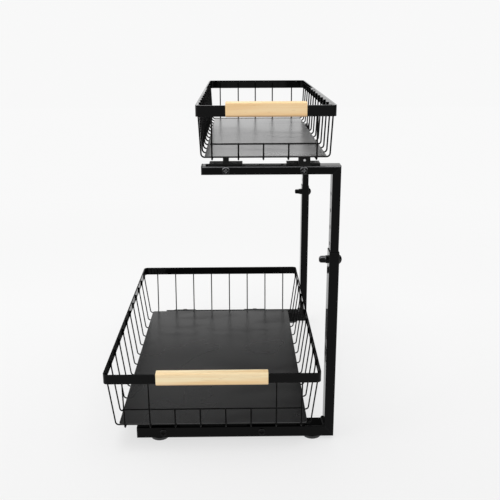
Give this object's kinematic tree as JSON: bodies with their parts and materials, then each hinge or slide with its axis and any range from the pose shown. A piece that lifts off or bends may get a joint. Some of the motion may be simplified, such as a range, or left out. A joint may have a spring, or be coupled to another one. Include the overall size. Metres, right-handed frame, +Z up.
{
  "type": "pull out cabinet basket",
  "caption": "Two-tier pull-out wire basket organiser on a black tube frame, with telescoping uprights on one side and wooden front handles.",
  "frame": {"origin": "centre of the footprint of the whole object at rest, on the floor plane under the feet", "axes": "+X towards the side with the uprights, which is on the right seen from the front; +Y from the handles at the front towards the back; +Z up"},
  "size_m": [0.288, 0.4418, 0.4266],
  "materials": {
    "frame_steel": "satin powder coat",
    "basket_steel": "satin powder coat",
    "rail_steel": "satin black",
    "screw_steel": "satin",
    "tray_plastic": "fine satin",
    "black_plastic": "matt",
    "wood": "clear satin",
    "foot_rubber": "matt"
  },
  "bodies": {
    "base": {"front_base_tube": "frame_steel", "back_base_tube": "frame_steel", "front_outer_post": "frame_steel", "back_outer_post": "frame_steel", "base_end_caps": "black_plastic", "feet": "foot_rubber", "clamp_nuts": "screw_steel", "clamp_domes": "frame_steel", "lower_rail_left": "rail_steel", "lower_rail_right": "rail_steel", "lower_rail_brackets": "rail_steel", "lower_rail_screws": "screw_steel", "lower_rail_nuts": "screw_steel", "lower_rail_rivets": "rail_steel"},
    "upper_tier": {"front_top_tube": "frame_steel", "back_top_tube": "frame_steel", "front_inner_post": "frame_steel", "back_inner_post": "frame_steel", "top_end_caps": "black_plastic", "inner_post_plugs": "black_plastic", "upper_rail_left": "rail_steel", "upper_rail_right": "rail_steel", "upper_rail_brackets": "rail_steel", "upper_rail_screws": "screw_steel", "upper_rail_nuts": "screw_steel", "upper_rail_rivets": "rail_steel"},
    "lower_basket": {"lower_rim": "basket_steel", "lower_cross_wires": "basket_steel", "lower_depth_wires": "basket_steel", "lower_front_wire": "basket_steel", "lower_tray": "tray_plastic", "lower_handle": "wood", "lower_handle_screws": "screw_steel", "lower_runner_left": "rail_steel", "lower_runner_right": "rail_steel"},
    "upper_basket": {"upper_rim": "basket_steel", "upper_cross_wires": "basket_steel", "upper_depth_wires": "basket_steel", "upper_front_wire": "basket_steel", "upper_tray": "tray_plastic", "upper_handle": "wood", "upper_handle_screws": "screw_steel", "upper_runner_left": "rail_steel", "upper_runner_right": "rail_steel", "upper_catch": "black_plastic", "upper_catch_screw": "screw_steel"},
    "front_clamp": {"front_knob": "black_plastic", "front_stud": "screw_steel"},
    "back_clamp": {"back_knob": "black_plastic", "back_stud": "screw_steel"}
  },
  "joints": [
    {"name": "tier_height", "type": "slide", "parent": "base", "child": "upper_tier", "axis": [0, 0, 1], "range_m": [-0.08, 0.06]},
    {"name": "lower_basket_pull", "type": "slide", "parent": "base", "child": "lower_basket", "axis": [0, -1, 0], "range_m": [0, 0.25]},
    {"name": "upper_basket_pull", "type": "slide", "parent": "upper_tier", "child": "upper_basket", "axis": [0, -1, 0], "range_m": [0, 0.25]},
    {"name": "front_clamp_turn", "type": "hinge", "parent": "base", "child": "front_clamp", "pos_m": [0.12035, -0.17615, 0.237], "axis": [1, 0, 0], "continuous": true},
    {"name": "back_clamp_turn", "type": "hinge", "parent": "base", "child": "back_clamp", "pos_m": [0.12035, 0.20785, 0.237], "axis": [1, 0, 0], "continuous": true}
  ]
}
